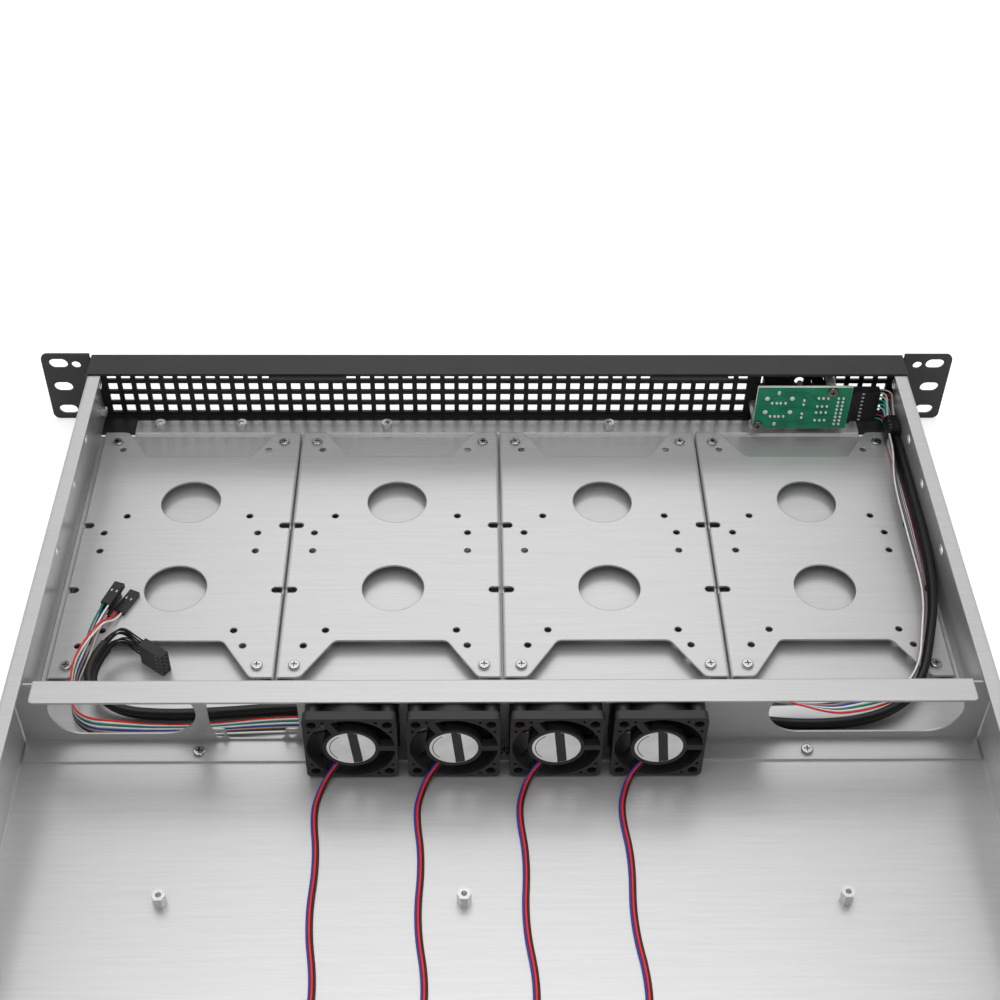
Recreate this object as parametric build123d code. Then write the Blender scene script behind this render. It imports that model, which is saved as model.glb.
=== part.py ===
from build123d import *
import os
from math import cos, pi, radians, sin, tan

# An empty 1U rackmount server case, lid off. Sizes in mm.
# +Z is up, the front panel faces -Y, and the origin is on the floor under the middle of the case.

# Overall sizes
rack_width = 482.6
case_height = 44.0
case_depth = 550.0
body_width = 428.0
lid_room = 0.8

# Sheet thicknesses and clearances
panel_sheet = 1.5
pan_sheet = 1.0
plate_sheet = 1.0
wall_sheet = 1.0
side_gap = 0.4
end_gap = 0.6
slip_gap = 0.1
run_gap = 0.05

# Front panel
panel_bend = 1.2
ear_corner = 3.5
ear_slot_length = 10.0
ear_slot_height = 6.5
ear_slot_spread = 465.1
ear_slot_pitch = 15.875
ear_hole_radius = 2.5
ear_hole_inset = 9.2
ear_hole_drop = 7.0
top_flange_depth = 15.8
bottom_flange_depth = 14.0
relief_width = 1.5
relief_depth = 3.0
side_tab_depth = 15.0
side_tab_margin = 3.0
lid_tab_width = 40.0
lid_tab_place = 99.8
lid_tab_front = 9.0
lid_tab_reach = 2.5
grille_pitch = 7.5
grille_hole = 5.0
grille_columns = 56
grille_rows = 5
input_zone_right = -180.0
input_zone_left = -135.0

# Screws and nuts
screw_radius = 1.22
screw_hole_radius = 1.7
tap_radius = 1.25
pan_head_radius = 2.8
pan_head_height = 1.5
cross_width = 0.6
cross_length = 3.0
cross_depth = 0.8
sunk_head_radius = 2.7
sunk_head_height = 1.3
nut_radius = 2.75
nut_height = 3.0
panel_nut_places = (60.0, 138.4, 182.0)
panel_nut_back = 9.7
side_nut_heights = (12.0, 31.0)
side_nut_back = 8.5

# Base pan
wall_flange = 7.0
lip_width = 390.0
lip_front = 5.0
lip_end = 14.6
lip_slope = 1.7
rail_hole_length = 6.0
rail_hole_width = 4.0
rail_hole_height = 22.5
rail_hole_backs = (42.5, 76.0, 122.5)

# Drive plates and their standoffs
plate_count = 4
plate_pitch = 104.9
plate_gap = 0.8
plate_front = 19.8
plate_length = 168.5
plate_skirt = 4.0
standoff_height = 5.0
standoff_radius = 3.0
plate_screw_spread = 87.7
plate_screw_backs = (28.0, 181.7)
big_hole_radius = 15.0
big_hole_backs = (72.8, 132.6)
front_notch_depth = 19.0
front_notch_half = 27.0
front_notch_edge_half = 39.3
rear_notch_depth = 22.2
rear_notch_half = 26.4
rear_notch_edge_half = 41.0
notch_corner = 4.0
drive_width_pitch = 61.72
drive_length_pitch = 76.6
drive_hole_radius = 1.7
length_pattern_back = 83.2
cross_pattern_backs = (33.4, 107.6)
cross_pattern_shift = 2.3
edge_slot_backs = (89.8, 133.8)
edge_slot_length = 5.8
edge_slot_width = 3.9

# Fan wall
wall_back = 219.5
wall_top_depth = 12.7
wall_foot_depth = 12.5
wall_top_width = 404.0
wall_corner = 2.0
wall_bend = 0.55
window_radius = 14.7
window_height = 21.5
window_left_middle = 167.4
window_left_width = 64.4
window_right_middle = -159.5
window_right_width = 86.2
fan_opening_width = 39.5
fan_tab_width = 6.8
fan_tab_corner = 2.0
foot_screw_places = (-135.0, 0.0, 135.0)
foot_screw_back = 7.5

# Fans
fan_size = 40.0
fan_depth = 20.0
fan_pitch = 44.1
fan_lift = 0.1
fan_count = 4
fan_bay_count = 5
fan_hole_pitch = 32.0
fan_hole_radius = 2.15
fan_screw_radius = 2.05
fan_screw_length = 14.0
fan_corner = 2.4
fan_flange = 4.5
fan_post_radius = 3.4
fan_small_hole_radius = 0.75
fan_small_hole_place = (11.3, 17.5)
duct_radius = 19.0
blade_tip_gap = 0.5
motor_base_radius = 12.2
motor_base_thick = 3.6
label_radius = 10.5
label_recess = 0.4
label_thick = 0.2
strut_width = 3.2
strut_angles = (0.0, 120.0, 240.0)
lead_strut_angle = 240.0
lead_groove_depth = 2.4
lead_groove_width = 3.4
bearing_radius = 3.0
shaft_radius = 1.0
rotor_front = 4.0
rotor_cap = 1.5
cup_radius = 11.8
cup_wall = 1.2
cup_base_gap = 0.7
stator_radius = 9.8
stator_length = 8.0
blade_count = 7
blade_root_angle = 52.0
blade_tip_angle = 34.0
blade_root_chord = 12.0
blade_tip_chord = 13.5
blade_thick = 0.9
blade_middle = 9.8

# Front input board, placed across from the middle and up from the floor
board_back = 15.9
board_thick = 1.6
board_right = -186.1
board_left = -136.3
board_bottom = 7.9
board_top = 36.4
post_radius = 2.5
post_places = ((-175.9, 33.7), (-138.8, 10.3))
usb_across = -148.2
usb_heights = (27.4, 17.8)
usb_width = 13.2
usb_height = 6.0
usb_wall = 0.4
usb_front = 0.3
usb_opening_gap = 0.6
tongue_width = 11.1
tongue_height = 1.9
tongue_length = 8.9
light_across = -161.5
row_heights = (26.3, 16.7)
light_radius = 1.5
light_length = 5.3
light_hole_radius = 2.6
light_leg_radius = 0.25
light_leg_pitch = 2.54
button_across = -171.5
button_radius = 3.2
button_hole_radius = 3.5
button_recess = 0.3
button_length = 7.5
button_stem_radius = 1.5
button_stem_length = 6.0
button_travel = 1.0
switch_size = 7.0
switch_depth = 7.0
header_across = -183.9
header_length = 9.0
header_stand = 6.8
plug_thick = 5.0
header_height = 20.4
header_middle = 20.05
pin_pitch = 2.54

# Harness
plug_length = 14.0
plug_window = 0.9
plug_wire_radius = 0.4
plug_wire_far = (-210.3, -207.2)
plug_wire_turn = (6.7, 3.5)
wrap_right = -212.5
wrap_left = -204.5
wrap_bottom = 7.3
wrap_top = 20.3
wrap_front = 20.0
wrap_back = 31.0
wrap_corner = 2.0
usb_cable_radius = 2.0
wire_radius = 0.47
usb_plug_wire_radius = 0.42
usb_plug_positions = 5
lead_radius = 1.1
lead_plug_size = (7.6, 12.0, 5.8)

# Rear panel and motherboard standoffs
rear_foot = 12.0
port_opening = (158.75, 37.0)
port_across = 90.0
power_opening = (96.0, 36.0)
power_across = -140.0
rear_screw_places = (-195.0, -60.0, 5.0, 185.0)
board_post_height = 6.35
board_post_radius = 3.0
board_columns = (0.0, 157.48, 281.94)
board_rows = (0.0, 154.94, 227.33)
board_first_column = -140.0
board_first_row = 17.5

# Levels and faces that several pieces share
front_face = -case_depth / 2
panel_inner = front_face + panel_sheet
rear_face = case_depth / 2
inner_top = case_height - lid_room
plate_under = pan_sheet + standoff_height
plate_top = plate_under + plate_sheet
plate_width = plate_pitch - plate_gap
fan_bottom = pan_sheet + wall_sheet + fan_lift
fan_middle = fan_bottom + fan_size / 2
fan_front = wall_back + wall_sheet


def back(distance):
    """The Y of a place that lies this far behind the front panel's inner face."""
    return panel_inner + distance


def block(x_range, y_range, z_range):
    size = [high - low for low, high in (x_range, y_range, z_range)]
    middle = [(low + high) / 2 for low, high in (x_range, y_range, z_range)]
    return Pos(*middle) * Box(*size)


def upright(radius, x, y, z_range):
    low, high = z_range
    return Pos(x, y, (low + high) / 2) * Cylinder(radius, high - low)


def along_depth(radius, x, z, y_range):
    low, high = y_range
    return Pos(x, (low + high) / 2, z) * Rot(90, 0, 0) * Cylinder(radius, high - low)


def along_width(radius, y, z, x_range):
    low, high = x_range
    return Pos((low + high) / 2, y, z) * Rot(0, 90, 0) * Cylinder(radius, high - low)


def through_upright_sheet(outline, y_range):
    """A flat outline drawn across (X) and up (Z), made solid over a range of Y."""
    low, high = y_range
    return Pos(0, high, 0) * extrude(Plane.XZ * outline, amount=high - low)


def folded_across(points, sheet, bend, x_range):
    """A folded sheet whose middle line is drawn in depth (Y) and height (Z)."""
    low, high = x_range
    section = trace(FilletPolyline(*points, radius=bend), sheet)
    return Pos(low, 0, 0) * extrude(Plane.YZ * section, amount=high - low)


def folded_along(points, sheet, bend, y_range):
    """A folded sheet whose middle line is drawn across (X) and up (Z)."""
    section = trace(FilletPolyline(*points, radius=bend), sheet)
    return through_upright_sheet(section, y_range)


def fan_places(count):
    """The fans' middles, from the spare bay's side on."""
    first = fan_pitch * (fan_bay_count - 1) / 2 + fan_pitch / 2
    spare = fan_bay_count - count
    return [first - fan_pitch * (spare + index) for index in range(count)]


def plate_places():
    return [plate_pitch * ((plate_count - 1) / 2 - index) for index in range(plate_count)]


def panel_grille():
    holes = Sketch()
    low_x = -grille_pitch * (grille_columns - 1) / 2
    low_z = case_height / 2 - grille_pitch * (grille_rows - 1) / 2
    for column in range(grille_columns):
        x = low_x + grille_pitch * column
        if input_zone_right < x < input_zone_left:
            continue
        spots = [(x, low_z + grille_pitch * row) for row in range(grille_rows)]
        holes += [Pos(*spot) * Rectangle(grille_hole, grille_hole) for spot in spots]
    return holes


def panel_cutouts():
    usb_size = (usb_width + 2 * usb_opening_gap, usb_height + 2 * usb_opening_gap)
    cuts = Sketch() + [Pos(usb_across, z) * Rectangle(*usb_size) for z in usb_heights]
    cuts += [Pos(light_across, z) * Circle(light_hole_radius) for z in row_heights]
    cuts += [Pos(button_across, z) * Circle(button_hole_radius) for z in row_heights]
    return cuts


def ear_cutouts():
    cuts = Sketch()
    for side in (-1, 1):
        x = side * ear_slot_spread / 2
        for step in (-1, 0, 1):
            z = case_height / 2 + step * ear_slot_pitch
            cuts += Pos(x, z) * SlotOverall(ear_slot_length, ear_slot_height)
        hole_x = side * (ear_slot_spread / 2 - ear_hole_inset)
        cuts += Pos(hole_x, case_height - ear_hole_drop) * Circle(ear_hole_radius)
        relief_x = side * (body_width / 2 + relief_width / 2)
        for z in (relief_depth / 2, case_height - relief_depth / 2):
            cuts += Pos(relief_x, z) * Rectangle(relief_width, relief_depth)
    return cuts


def sunk_hole():
    """A countersunk hole with its mouth at the origin, going up."""
    mouth = Pos(0, 0, sunk_head_height / 2) * Cone(sunk_head_radius + run_gap, screw_hole_radius, sunk_head_height)
    return mouth + Pos(0, 0, panel_sheet / 2) * Cylinder(screw_hole_radius, panel_sheet)


def sunk_screw():
    """A flush screw with its face at the origin, its shank up through the sheets into the nut."""
    head = Pos(0, 0, sunk_head_height / 2) * Cone(sunk_head_radius, screw_radius, sunk_head_height)
    length = panel_sheet + pan_sheet + nut_height - 0.5
    shank = Pos(0, 0, length / 2) * Cylinder(screw_radius, length)
    return head + shank - cross_recess()


def cross_recess():
    bars = Box(cross_length, cross_width, 2 * cross_depth)
    return bars + Rot(0, 0, 90) * bars


def press_nut():
    ring = Cylinder(nut_radius, nut_height) - Cylinder(tap_radius, nut_height)
    return Pos(0, 0, nut_height / 2) * ring


def panel_joints():
    """Where a flush screw enters the panel: under its bottom flange and on its side tabs."""
    joints = [Pos(side * x, back(panel_nut_back), 0) for side in (-1, 1) for x in panel_nut_places]
    reach = body_width / 2 + slip_gap + panel_sheet
    for side in (-1, 1):
        for z in side_nut_heights:
            joints.append(Pos(side * reach, back(side_nut_back), z) * Rot(0, -90 * side, 0))
    return joints


def front_panel():
    half = body_width / 2
    middle = panel_sheet / 2
    line = [
        (back(top_flange_depth), case_height - middle),
        (front_face + middle, case_height - middle),
        (front_face + middle, middle),
        (back(bottom_flange_depth), middle),
    ]
    panel = folded_across(line, panel_sheet, panel_bend, (-half, half))
    sheet_range = (front_face, panel_inner)
    ears = Pos(0, case_height / 2) * RectangleRounded(rack_width, case_height, ear_corner)
    ears -= Pos(0, case_height / 2) * Rectangle(body_width, case_height)
    panel += through_upright_sheet(ears, sheet_range)
    for side in (-1, 1):
        tab = sorted((side * (half + slip_gap), side * (half + slip_gap + panel_sheet)))
        heights = (side_tab_margin, case_height - side_tab_margin)
        panel += block(tab, (panel_inner, back(side_tab_depth)), heights)
        lid_tab = (side * lid_tab_place - lid_tab_width / 2, side * lid_tab_place + lid_tab_width / 2)
        depth = (back(lid_tab_front), back(top_flange_depth + lid_tab_reach))
        under = case_height - panel_sheet
        panel += block(lid_tab, depth, (under - panel_sheet, under))
    cuts = panel_grille() + panel_cutouts() + ear_cutouts()
    panel -= through_upright_sheet(cuts, sheet_range)
    return panel - [joint * sunk_hole() for joint in panel_joints()]


def panel_nuts():
    lift = Pos(0, 0, panel_sheet + pan_sheet)
    slide = Pos(0, 0, panel_sheet + slip_gap + pan_sheet)
    joints = panel_joints()
    under = 2 * len(panel_nut_places)
    return [joint * lift * press_nut() for joint in joints[:under]] + [
        joint * slide * press_nut() for joint in joints[under:]
    ]


def base_pan():
    half = body_width / 2
    middle = pan_sheet / 2
    floor_start = back(lip_end + lip_slope)
    floor_end = rear_face - pan_sheet - slip_gap
    line = [
        (-half + wall_flange, inner_top - middle),
        (-half + middle, inner_top - middle),
        (-half + middle, middle),
        (half - middle, middle),
        (half - middle, inner_top - middle),
        (half - wall_flange, inner_top - middle),
    ]
    pan = folded_along(line, pan_sheet, pan_sheet, (floor_start, floor_end))
    lip_level = panel_sheet + middle
    lip = [
        (back(lip_front), lip_level),
        (back(lip_end), lip_level),
        (floor_start, middle),
        (floor_start + wall_flange, middle),
    ]
    pan += folded_across(lip, pan_sheet, pan_sheet * 0.6, (-lip_width / 2, lip_width / 2))
    for side in (-1, 1):
        wall = sorted((side * half, side * (half - pan_sheet)))
        heights = (panel_sheet + side_gap, case_height - panel_sheet - side_gap)
        pan += block(wall, (back(side_gap), floor_start), heights)
        for z in side_nut_heights:
            pan -= along_width(screw_hole_radius, back(side_nut_back), z, wall)
        for distance in rail_hole_backs:
            slot = Plane.YZ * SlotOverall(rail_hole_length, rail_hole_width)
            tool = extrude(slot, amount=pan_sheet)
            pan -= Pos(wall[0], back(distance), rail_hole_height) * tool
    for x in panel_nut_places:
        for side in (-1, 1):
            depth = (panel_sheet, panel_sheet + pan_sheet)
            pan -= upright(screw_hole_radius, side * x, back(panel_nut_back), depth)
    taps = [(x, back(wall_back + foot_screw_back)) for x in foot_screw_places]
    taps += [(x, rear_face - rear_foot / 2) for x in rear_screw_places]
    return pan - [upright(tap_radius, x, y, (0, pan_sheet)) for x, y in taps]


def drive_holes():
    """The hole middles on one plate, across from its middle and behind the panel."""
    spots = []
    for side in (-1, 1):
        for step in (0, drive_length_pitch):
            spots.append((side * drive_width_pitch / 2, length_pattern_back + step))
        for start in cross_pattern_backs:
            for step in (0, drive_width_pitch):
                x = cross_pattern_shift + side * drive_length_pitch / 2
                spots.append((x, start + step))
    return spots


def plate_outline():
    front, end = back(plate_front), back(plate_front + plate_length)
    outline = Pos(0, (front + end) / 2) * Rectangle(plate_width, plate_length)
    front_notch = Polyline(
        (-front_notch_edge_half, front),
        (-front_notch_half, front + front_notch_depth),
        (front_notch_half, front + front_notch_depth),
        (front_notch_edge_half, front),
        close=True,
    )
    rear_notch = Polyline(
        (-rear_notch_edge_half, end),
        (-rear_notch_half, end - rear_notch_depth),
        (rear_notch_half, end - rear_notch_depth),
        (rear_notch_edge_half, end),
        close=True,
    )
    outline -= make_face(front_notch)
    outline -= make_face(rear_notch)
    corners = [v for v in outline.vertices() if abs(v.X) < plate_width / 2 - notch_corner]
    return fillet(corners, notch_corner)


def drive_plate(across):
    half = plate_width / 2
    middle = plate_sheet / 2
    skirt_end = plate_under - plate_skirt
    line = [
        (-half + middle, skirt_end),
        (-half + middle, plate_top - middle),
        (half - middle, plate_top - middle),
        (half - middle, skirt_end),
    ]
    depth = (back(plate_front), back(plate_front + plate_length))
    plate = folded_along(line, plate_sheet, plate_sheet, depth)
    plate &= extrude(plate_outline(), amount=plate_top)
    sheet = (plate_under, plate_top)
    plate -= [upright(big_hole_radius, 0, back(distance), sheet) for distance in big_hole_backs]
    plate -= [upright(drive_hole_radius, x, back(distance), sheet) for x, distance in drive_holes()]
    plate -= [upright(screw_hole_radius, x, y, sheet) for x, y in plate_screws_on_one()]
    for side in (-1, 1):
        for distance in edge_slot_backs:
            slot = SlotOverall(2 * edge_slot_length, edge_slot_width)
            tool = extrude(slot, amount=plate_skirt)
            plate -= Pos(side * half, back(distance), plate_top - plate_sheet * 2) * tool
    return Pos(across, 0, 0) * plate


def plate_screws_on_one():
    half = plate_screw_spread / 2
    return [(side * half, back(distance)) for side in (-1, 1) for distance in plate_screw_backs]


def plate_screw_spots():
    return [(across + x, y) for across in plate_places() for x, y in plate_screws_on_one()]


def pan_screw(length):
    """A pan head screw with the underside of its head at the origin, its shank down."""
    head = Pos(0, 0, pan_head_height / 2) * Cylinder(pan_head_radius, pan_head_height)
    head = fillet(head.edges().group_by(Axis.Z)[-1], pan_head_height * 0.45)
    shank = Pos(0, 0, -length / 2) * Cylinder(screw_radius, length)
    return head + shank - Pos(0, 0, pan_head_height) * cross_recess()


def standoffs():
    ring = Cylinder(standoff_radius, standoff_height) - Cylinder(tap_radius, standoff_height)
    level = pan_sheet + standoff_height / 2
    return [Pos(x, y, level) * ring for x, y in plate_screw_spots()]


def plate_screws():
    screw = pan_screw(plate_sheet + standoff_height * 0.8)
    return [Pos(x, y, plate_top) * screw for x, y in plate_screw_spots()]


def foot_screws():
    screw = pan_screw(wall_sheet + pan_sheet * 0.8)
    spots = [(x, back(wall_back + foot_screw_back)) for x in foot_screw_places]
    spots += [(x, rear_face - rear_foot / 2) for x in rear_screw_places]
    return [Pos(x, y, pan_sheet + wall_sheet) * screw for x, y in spots]


def fan_opening():
    """The outline of one bay: a square with a screw tab left in each corner."""
    height = fan_size - 2 * wall_sheet
    outline = Rectangle(fan_opening_width, height)
    for x in (-1, 1):
        for z in (-1, 1):
            spot = (x * fan_opening_width / 2, z * height / 2)
            outline -= Pos(*spot) * Rectangle(2 * fan_tab_width, 2 * fan_tab_width)
    return fillet(outline.vertices(), fan_tab_corner)


def fan_screw_spots(places):
    half = fan_hole_pitch / 2
    return [(x + i * half, fan_middle + j * half) for x in places for i in (-1, 1) for j in (-1, 1)]


def fan_wall():
    half = body_width / 2 - pan_sheet - end_gap
    middle = wall_sheet / 2
    line = [
        (back(wall_back + wall_top_depth), inner_top - middle),
        (back(wall_back + middle), inner_top - middle),
        (back(wall_back + middle), pan_sheet + middle),
        (back(wall_back + wall_foot_depth), pan_sheet + middle),
    ]
    wall = folded_across(line, wall_sheet, wall_bend, (-half, half))
    depth = (back(wall_back - 1), back(wall_back + wall_top_depth + 1))
    for side in (-1, 1):
        end = sorted((side * wall_top_width / 2, side * body_width / 2))
        wall -= block(end, depth, (inner_top - 2 * wall_sheet, case_height))
    corner_y = back(wall_back + wall_top_depth)
    corners = [
        edge
        for edge in wall.edges().filter_by(Axis.Z)
        if edge.center().Z > inner_top - wall_sheet and abs(edge.center().Y - corner_y) < 0.01
    ]
    wall = fillet(corners, wall_corner)
    windows = Pos(window_left_middle, window_height) * SlotOverall(window_left_width, 2 * window_radius)
    windows += Pos(window_right_middle, window_height) * SlotOverall(window_right_width, 2 * window_radius)
    bays = [Pos(x, fan_middle) * fan_opening() for x in fan_places(fan_bay_count)]
    spots = fan_screw_spots(fan_places(fan_bay_count))
    cuts = windows + bays + [Pos(x, z) * Circle(fan_hole_radius + slip_gap) for x, z in spots]
    wall -= through_upright_sheet(cuts, (back(wall_back), back(wall_back + wall_sheet)))
    foot = (pan_sheet, pan_sheet + wall_sheet)
    y = back(wall_back + foot_screw_back)
    return wall - [upright(screw_hole_radius, x, y, foot) for x in foot_screw_places]


def fan_screws():
    head = Pos(0, 0, pan_head_height / 2) * Cylinder(pan_head_radius, pan_head_height)
    head = fillet(head.edges().group_by(Axis.Z)[-1], pan_head_height * 0.45)
    length = fan_screw_length
    shank = Pos(0, 0, -length / 2) * Cylinder(fan_screw_radius, length)
    screw = Rot(90, 0, 0) * (head + shank - Pos(0, 0, pan_head_height) * cross_recess())
    return [Pos(x, back(wall_back), z) * screw for x, z in fan_screw_spots(fan_places(fan_count))]


def seen_from_behind(angle, radius):
    """A place on a fan, drawn with its depth upward, from the angle seen from behind it."""
    return (-radius * cos(radians(angle)), -radius * sin(radians(angle)))


def place_fan(piece, across):
    """Turns a piece drawn with its depth upward to lie along the case, in its bay."""
    return Pos(across, back(fan_front), fan_middle) * Rot(-90, 0, 0) * piece


def fan_strut(angle, level):
    """A bar from the motor base to the frame, as deep as the base up to its own level."""
    length = duct_radius - motor_base_radius + 2.0
    x, y = seen_from_behind(angle, motor_base_radius - 1.0 + length / 2)
    low = fan_depth - motor_base_thick
    bar = Box(length, strut_width, level - low)
    return Pos(x, y, (low + level) / 2) * Rot(0, 0, angle) * bar


def fan_housing():
    square = RectangleRounded(fan_size, fan_size, fan_corner)
    body = extrude(square, amount=fan_flange)
    body += Pos(0, 0, fan_depth - fan_flange) * extrude(square, amount=fan_flange)
    waist = Circle(fan_size / 2) & square
    half = fan_hole_pitch / 2
    corners = [(i * half, j * half) for i in (-1, 1) for j in (-1, 1)]
    waist += [Pos(*corner) * Circle(fan_post_radius) for corner in corners]
    body += extrude(waist, amount=fan_depth)
    body -= Pos(0, 0, fan_depth / 2) * Cylinder(duct_radius, fan_depth)
    body -= [upright(fan_hole_radius, x, y, (0, fan_depth)) for x, y in corners]
    near, far = fan_small_hole_place
    for i, j in corners:
        for x, y in ((near, far), (far, near)):
            spot = (x * i / half, y * j / half)
            body -= upright(fan_small_hole_radius, *spot, (0, fan_depth))
    for angle in strut_angles:
        sunk = lead_groove_depth if angle == lead_strut_angle else 0.0
        body += fan_strut(angle, fan_depth - sunk)
    groove = Box(fan_size / 2, lead_groove_width, 2 * lead_groove_depth)
    x, y = seen_from_behind(lead_strut_angle, motor_base_radius + fan_size / 4)
    body -= Pos(x, y, fan_depth) * Rot(0, 0, lead_strut_angle) * groove
    base = (fan_depth - motor_base_thick, fan_depth)
    body += upright(motor_base_radius, 0, 0, base)
    body -= upright(label_radius + slip_gap, 0, 0, (fan_depth - label_recess, fan_depth))
    tube = (rotor_front + rotor_cap + slip_gap * 5, fan_depth - motor_base_thick)
    body += upright(bearing_radius, 0, 0, tube)
    bore_end = fan_depth - motor_base_thick + 1.0
    return body - upright(shaft_radius + run_gap, 0, 0, (tube[0], bore_end))


def fan_blade():
    """One twisted blade between two tilted sections, trimmed to the cup and the tip."""
    tip_radius = duct_radius - blade_tip_gap
    root = Rot(0, 90, 0) * Rot(0, 0, blade_root_angle) * Rectangle(blade_root_chord, blade_thick)
    tip = Rot(0, 90, 0) * Rot(0, 0, blade_tip_angle) * Rectangle(blade_tip_chord, blade_thick)
    root_start = cup_radius * 0.75
    blade = loft([Pos(root_start, 0, 0) * root, Pos(tip_radius + 1.0, 0, 0) * tip])
    ring = Cylinder(tip_radius, fan_depth) - Cylinder(cup_radius - cup_wall / 2, fan_depth)
    return Pos(0, 0, blade_middle) * (blade & ring)


def fan_rotor():
    cup_end = fan_depth - motor_base_thick - cup_base_gap
    cup = upright(cup_radius, 0, 0, (rotor_front, cup_end))
    cup = fillet(cup.edges().group_by(Axis.Z)[0], 1.0)
    cup -= upright(cup_radius - cup_wall, 0, 0, (rotor_front + rotor_cap, cup_end))
    shaft_end = fan_depth - motor_base_thick + 1.0 - slip_gap
    rotor = cup + upright(shaft_radius, 0, 0, (rotor_front, shaft_end))
    blade = fan_blade()
    return rotor + [Rot(0, 0, 360 * index / blade_count) * blade for index in range(blade_count)]


def fan_stators():
    low = rotor_front + rotor_cap + 2.0
    ring = upright(stator_radius, 0, 0, (low, low + stator_length))
    ring -= upright(bearing_radius, 0, 0, (low, low + stator_length))
    return [place_fan(ring, x) for x in fan_places(fan_count)]


def fan_labels():
    low = fan_depth - label_recess
    disc = upright(label_radius, 0, 0, (low, low + label_thick))
    return [place_fan(disc, x) for x in fan_places(fan_count)]


def io_board():
    depth = (back(board_back), back(board_back + board_thick))
    board = block((board_right, board_left), depth, (board_bottom, board_top))
    return board - [along_depth(screw_hole_radius, x, z, depth) for x, z in post_places]


def io_posts():
    depth = (panel_inner, back(board_back))
    tap = (back(board_back - 6.0), back(board_back))
    posts = [along_depth(post_radius, x, z, depth) for x, z in post_places]
    bores = [along_depth(tap_radius, x, z, tap) for x, z in post_places]
    return [post - bore for post, bore in zip(posts, bores)]


def io_screws():
    screw = Rot(-90, 0, 0) * pan_screw(board_thick + 4.5)
    return [Pos(x, back(board_back + board_thick), z) * screw for x, z in post_places]


def usb_ports():
    depth = (back(usb_front), back(board_back))
    hollow = (back(usb_front), back(board_back - 3.0))
    ports = []
    for z in usb_heights:
        across = (usb_across - usb_width / 2, usb_across + usb_width / 2)
        port = block(across, depth, (z - usb_height / 2, z + usb_height / 2))
        inner = (across[0] + usb_wall, across[1] - usb_wall)
        heights = (z - usb_height / 2 + usb_wall, z + usb_height / 2 - usb_wall)
        port -= block(inner, hollow, heights)
        tongue = (usb_across - tongue_width / 2, usb_across + tongue_width / 2)
        tongue_top = z + usb_height / 2 - usb_wall - 0.7
        tongue_depth = (hollow[1] - tongue_length, hollow[1] + 1.0)
        ports.append(port + block(tongue, tongue_depth, (tongue_top - tongue_height, tongue_top)))
    return ports


def indicator_lights():
    lights = []
    for z in row_heights:
        low = back(usb_front)
        lens = along_depth(light_radius, light_across, z, (low, low + light_length))
        lens = fillet(lens.edges().group_by(Axis.Y)[0], light_radius * 0.8)
        for step in (-0.5, 0.5):
            leg = (low + light_length - 0.5, back(board_back))
            lens += along_depth(light_leg_radius, light_across, z + step * light_leg_pitch, leg)
        flange = (low + light_length - 1.0, low + light_length)
        lights.append(lens + along_depth(light_radius + 0.3, light_across, z, flange))
    return lights


def switch_bodies():
    depth = (back(board_back - switch_depth), back(board_back))
    half = switch_size / 2
    bodies = []
    for z in row_heights:
        body = block((button_across - half, button_across + half), depth, (z - half, z + half))
        bodies.append(body - along_depth(button_stem_radius + run_gap, button_across, z, depth))
    return bodies


def push_button(z):
    low = front_face + button_recess
    cap = along_depth(button_radius, button_across, z, (low, low + button_length))
    cap = fillet(cap.edges().group_by(Axis.Y)[0], 0.5)
    stem = (low + button_length, low + button_length + button_stem_length)
    return cap + along_depth(button_stem_radius, button_across, z, stem)


def pin_header():
    across = (header_across - header_length / 2, header_across + header_length / 2)
    heights = (header_middle - header_height / 2, header_middle + header_height / 2)
    return block(across, (back(board_back - header_stand), back(board_back)), heights)


def header_plug():
    high = header_across - header_length / 2
    front = back(board_back - header_stand)
    depth = (front, front + plug_thick)
    heights = (header_middle - header_height / 2, header_middle + header_height / 2)
    plug = block((high - plug_length, high), depth, heights)
    for level in range(8):
        z = header_middle + (level - 3.5) * pin_pitch
        window = (high - plug_length * 0.45, high - plug_length * 0.45 + 2 * plug_window)
        plug -= block(window, (depth[1] - 0.6, depth[1]), (z - plug_window / 2, z + plug_window / 2))
    return plug


def tube(points, radius):
    """A round cord on straight runs joined by tangent arcs, each as large as its runs allow."""
    vectors = [Vector(*point) for point in points]
    radii = []
    for before, here, after in zip(vectors, vectors[1:], vectors[2:]):
        turn = radians((here - before).get_angle(after - here))
        shorter = min((here - before).length, (after - here).length)
        radii.append(0.45 * shorter / tan(turn / 2))
    path = FilletPolyline(*vectors, radius=radii)
    start = Plane(origin=path @ 0, z_dir=path % 0)
    cord = sweep(start * Circle(radius), path=path)
    exact = pi * radius**2 * path.length
    print(f"cord length {path.length:.1f}, least radius {min(radii):.1f}, volume {cord.volume / exact:.4f}")
    return cord


def behind_panel(points):
    """Route points given across, behind the panel and up, turned into the case's own frame."""
    return [(x, back(distance), z) for x, distance, z in points]


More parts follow.
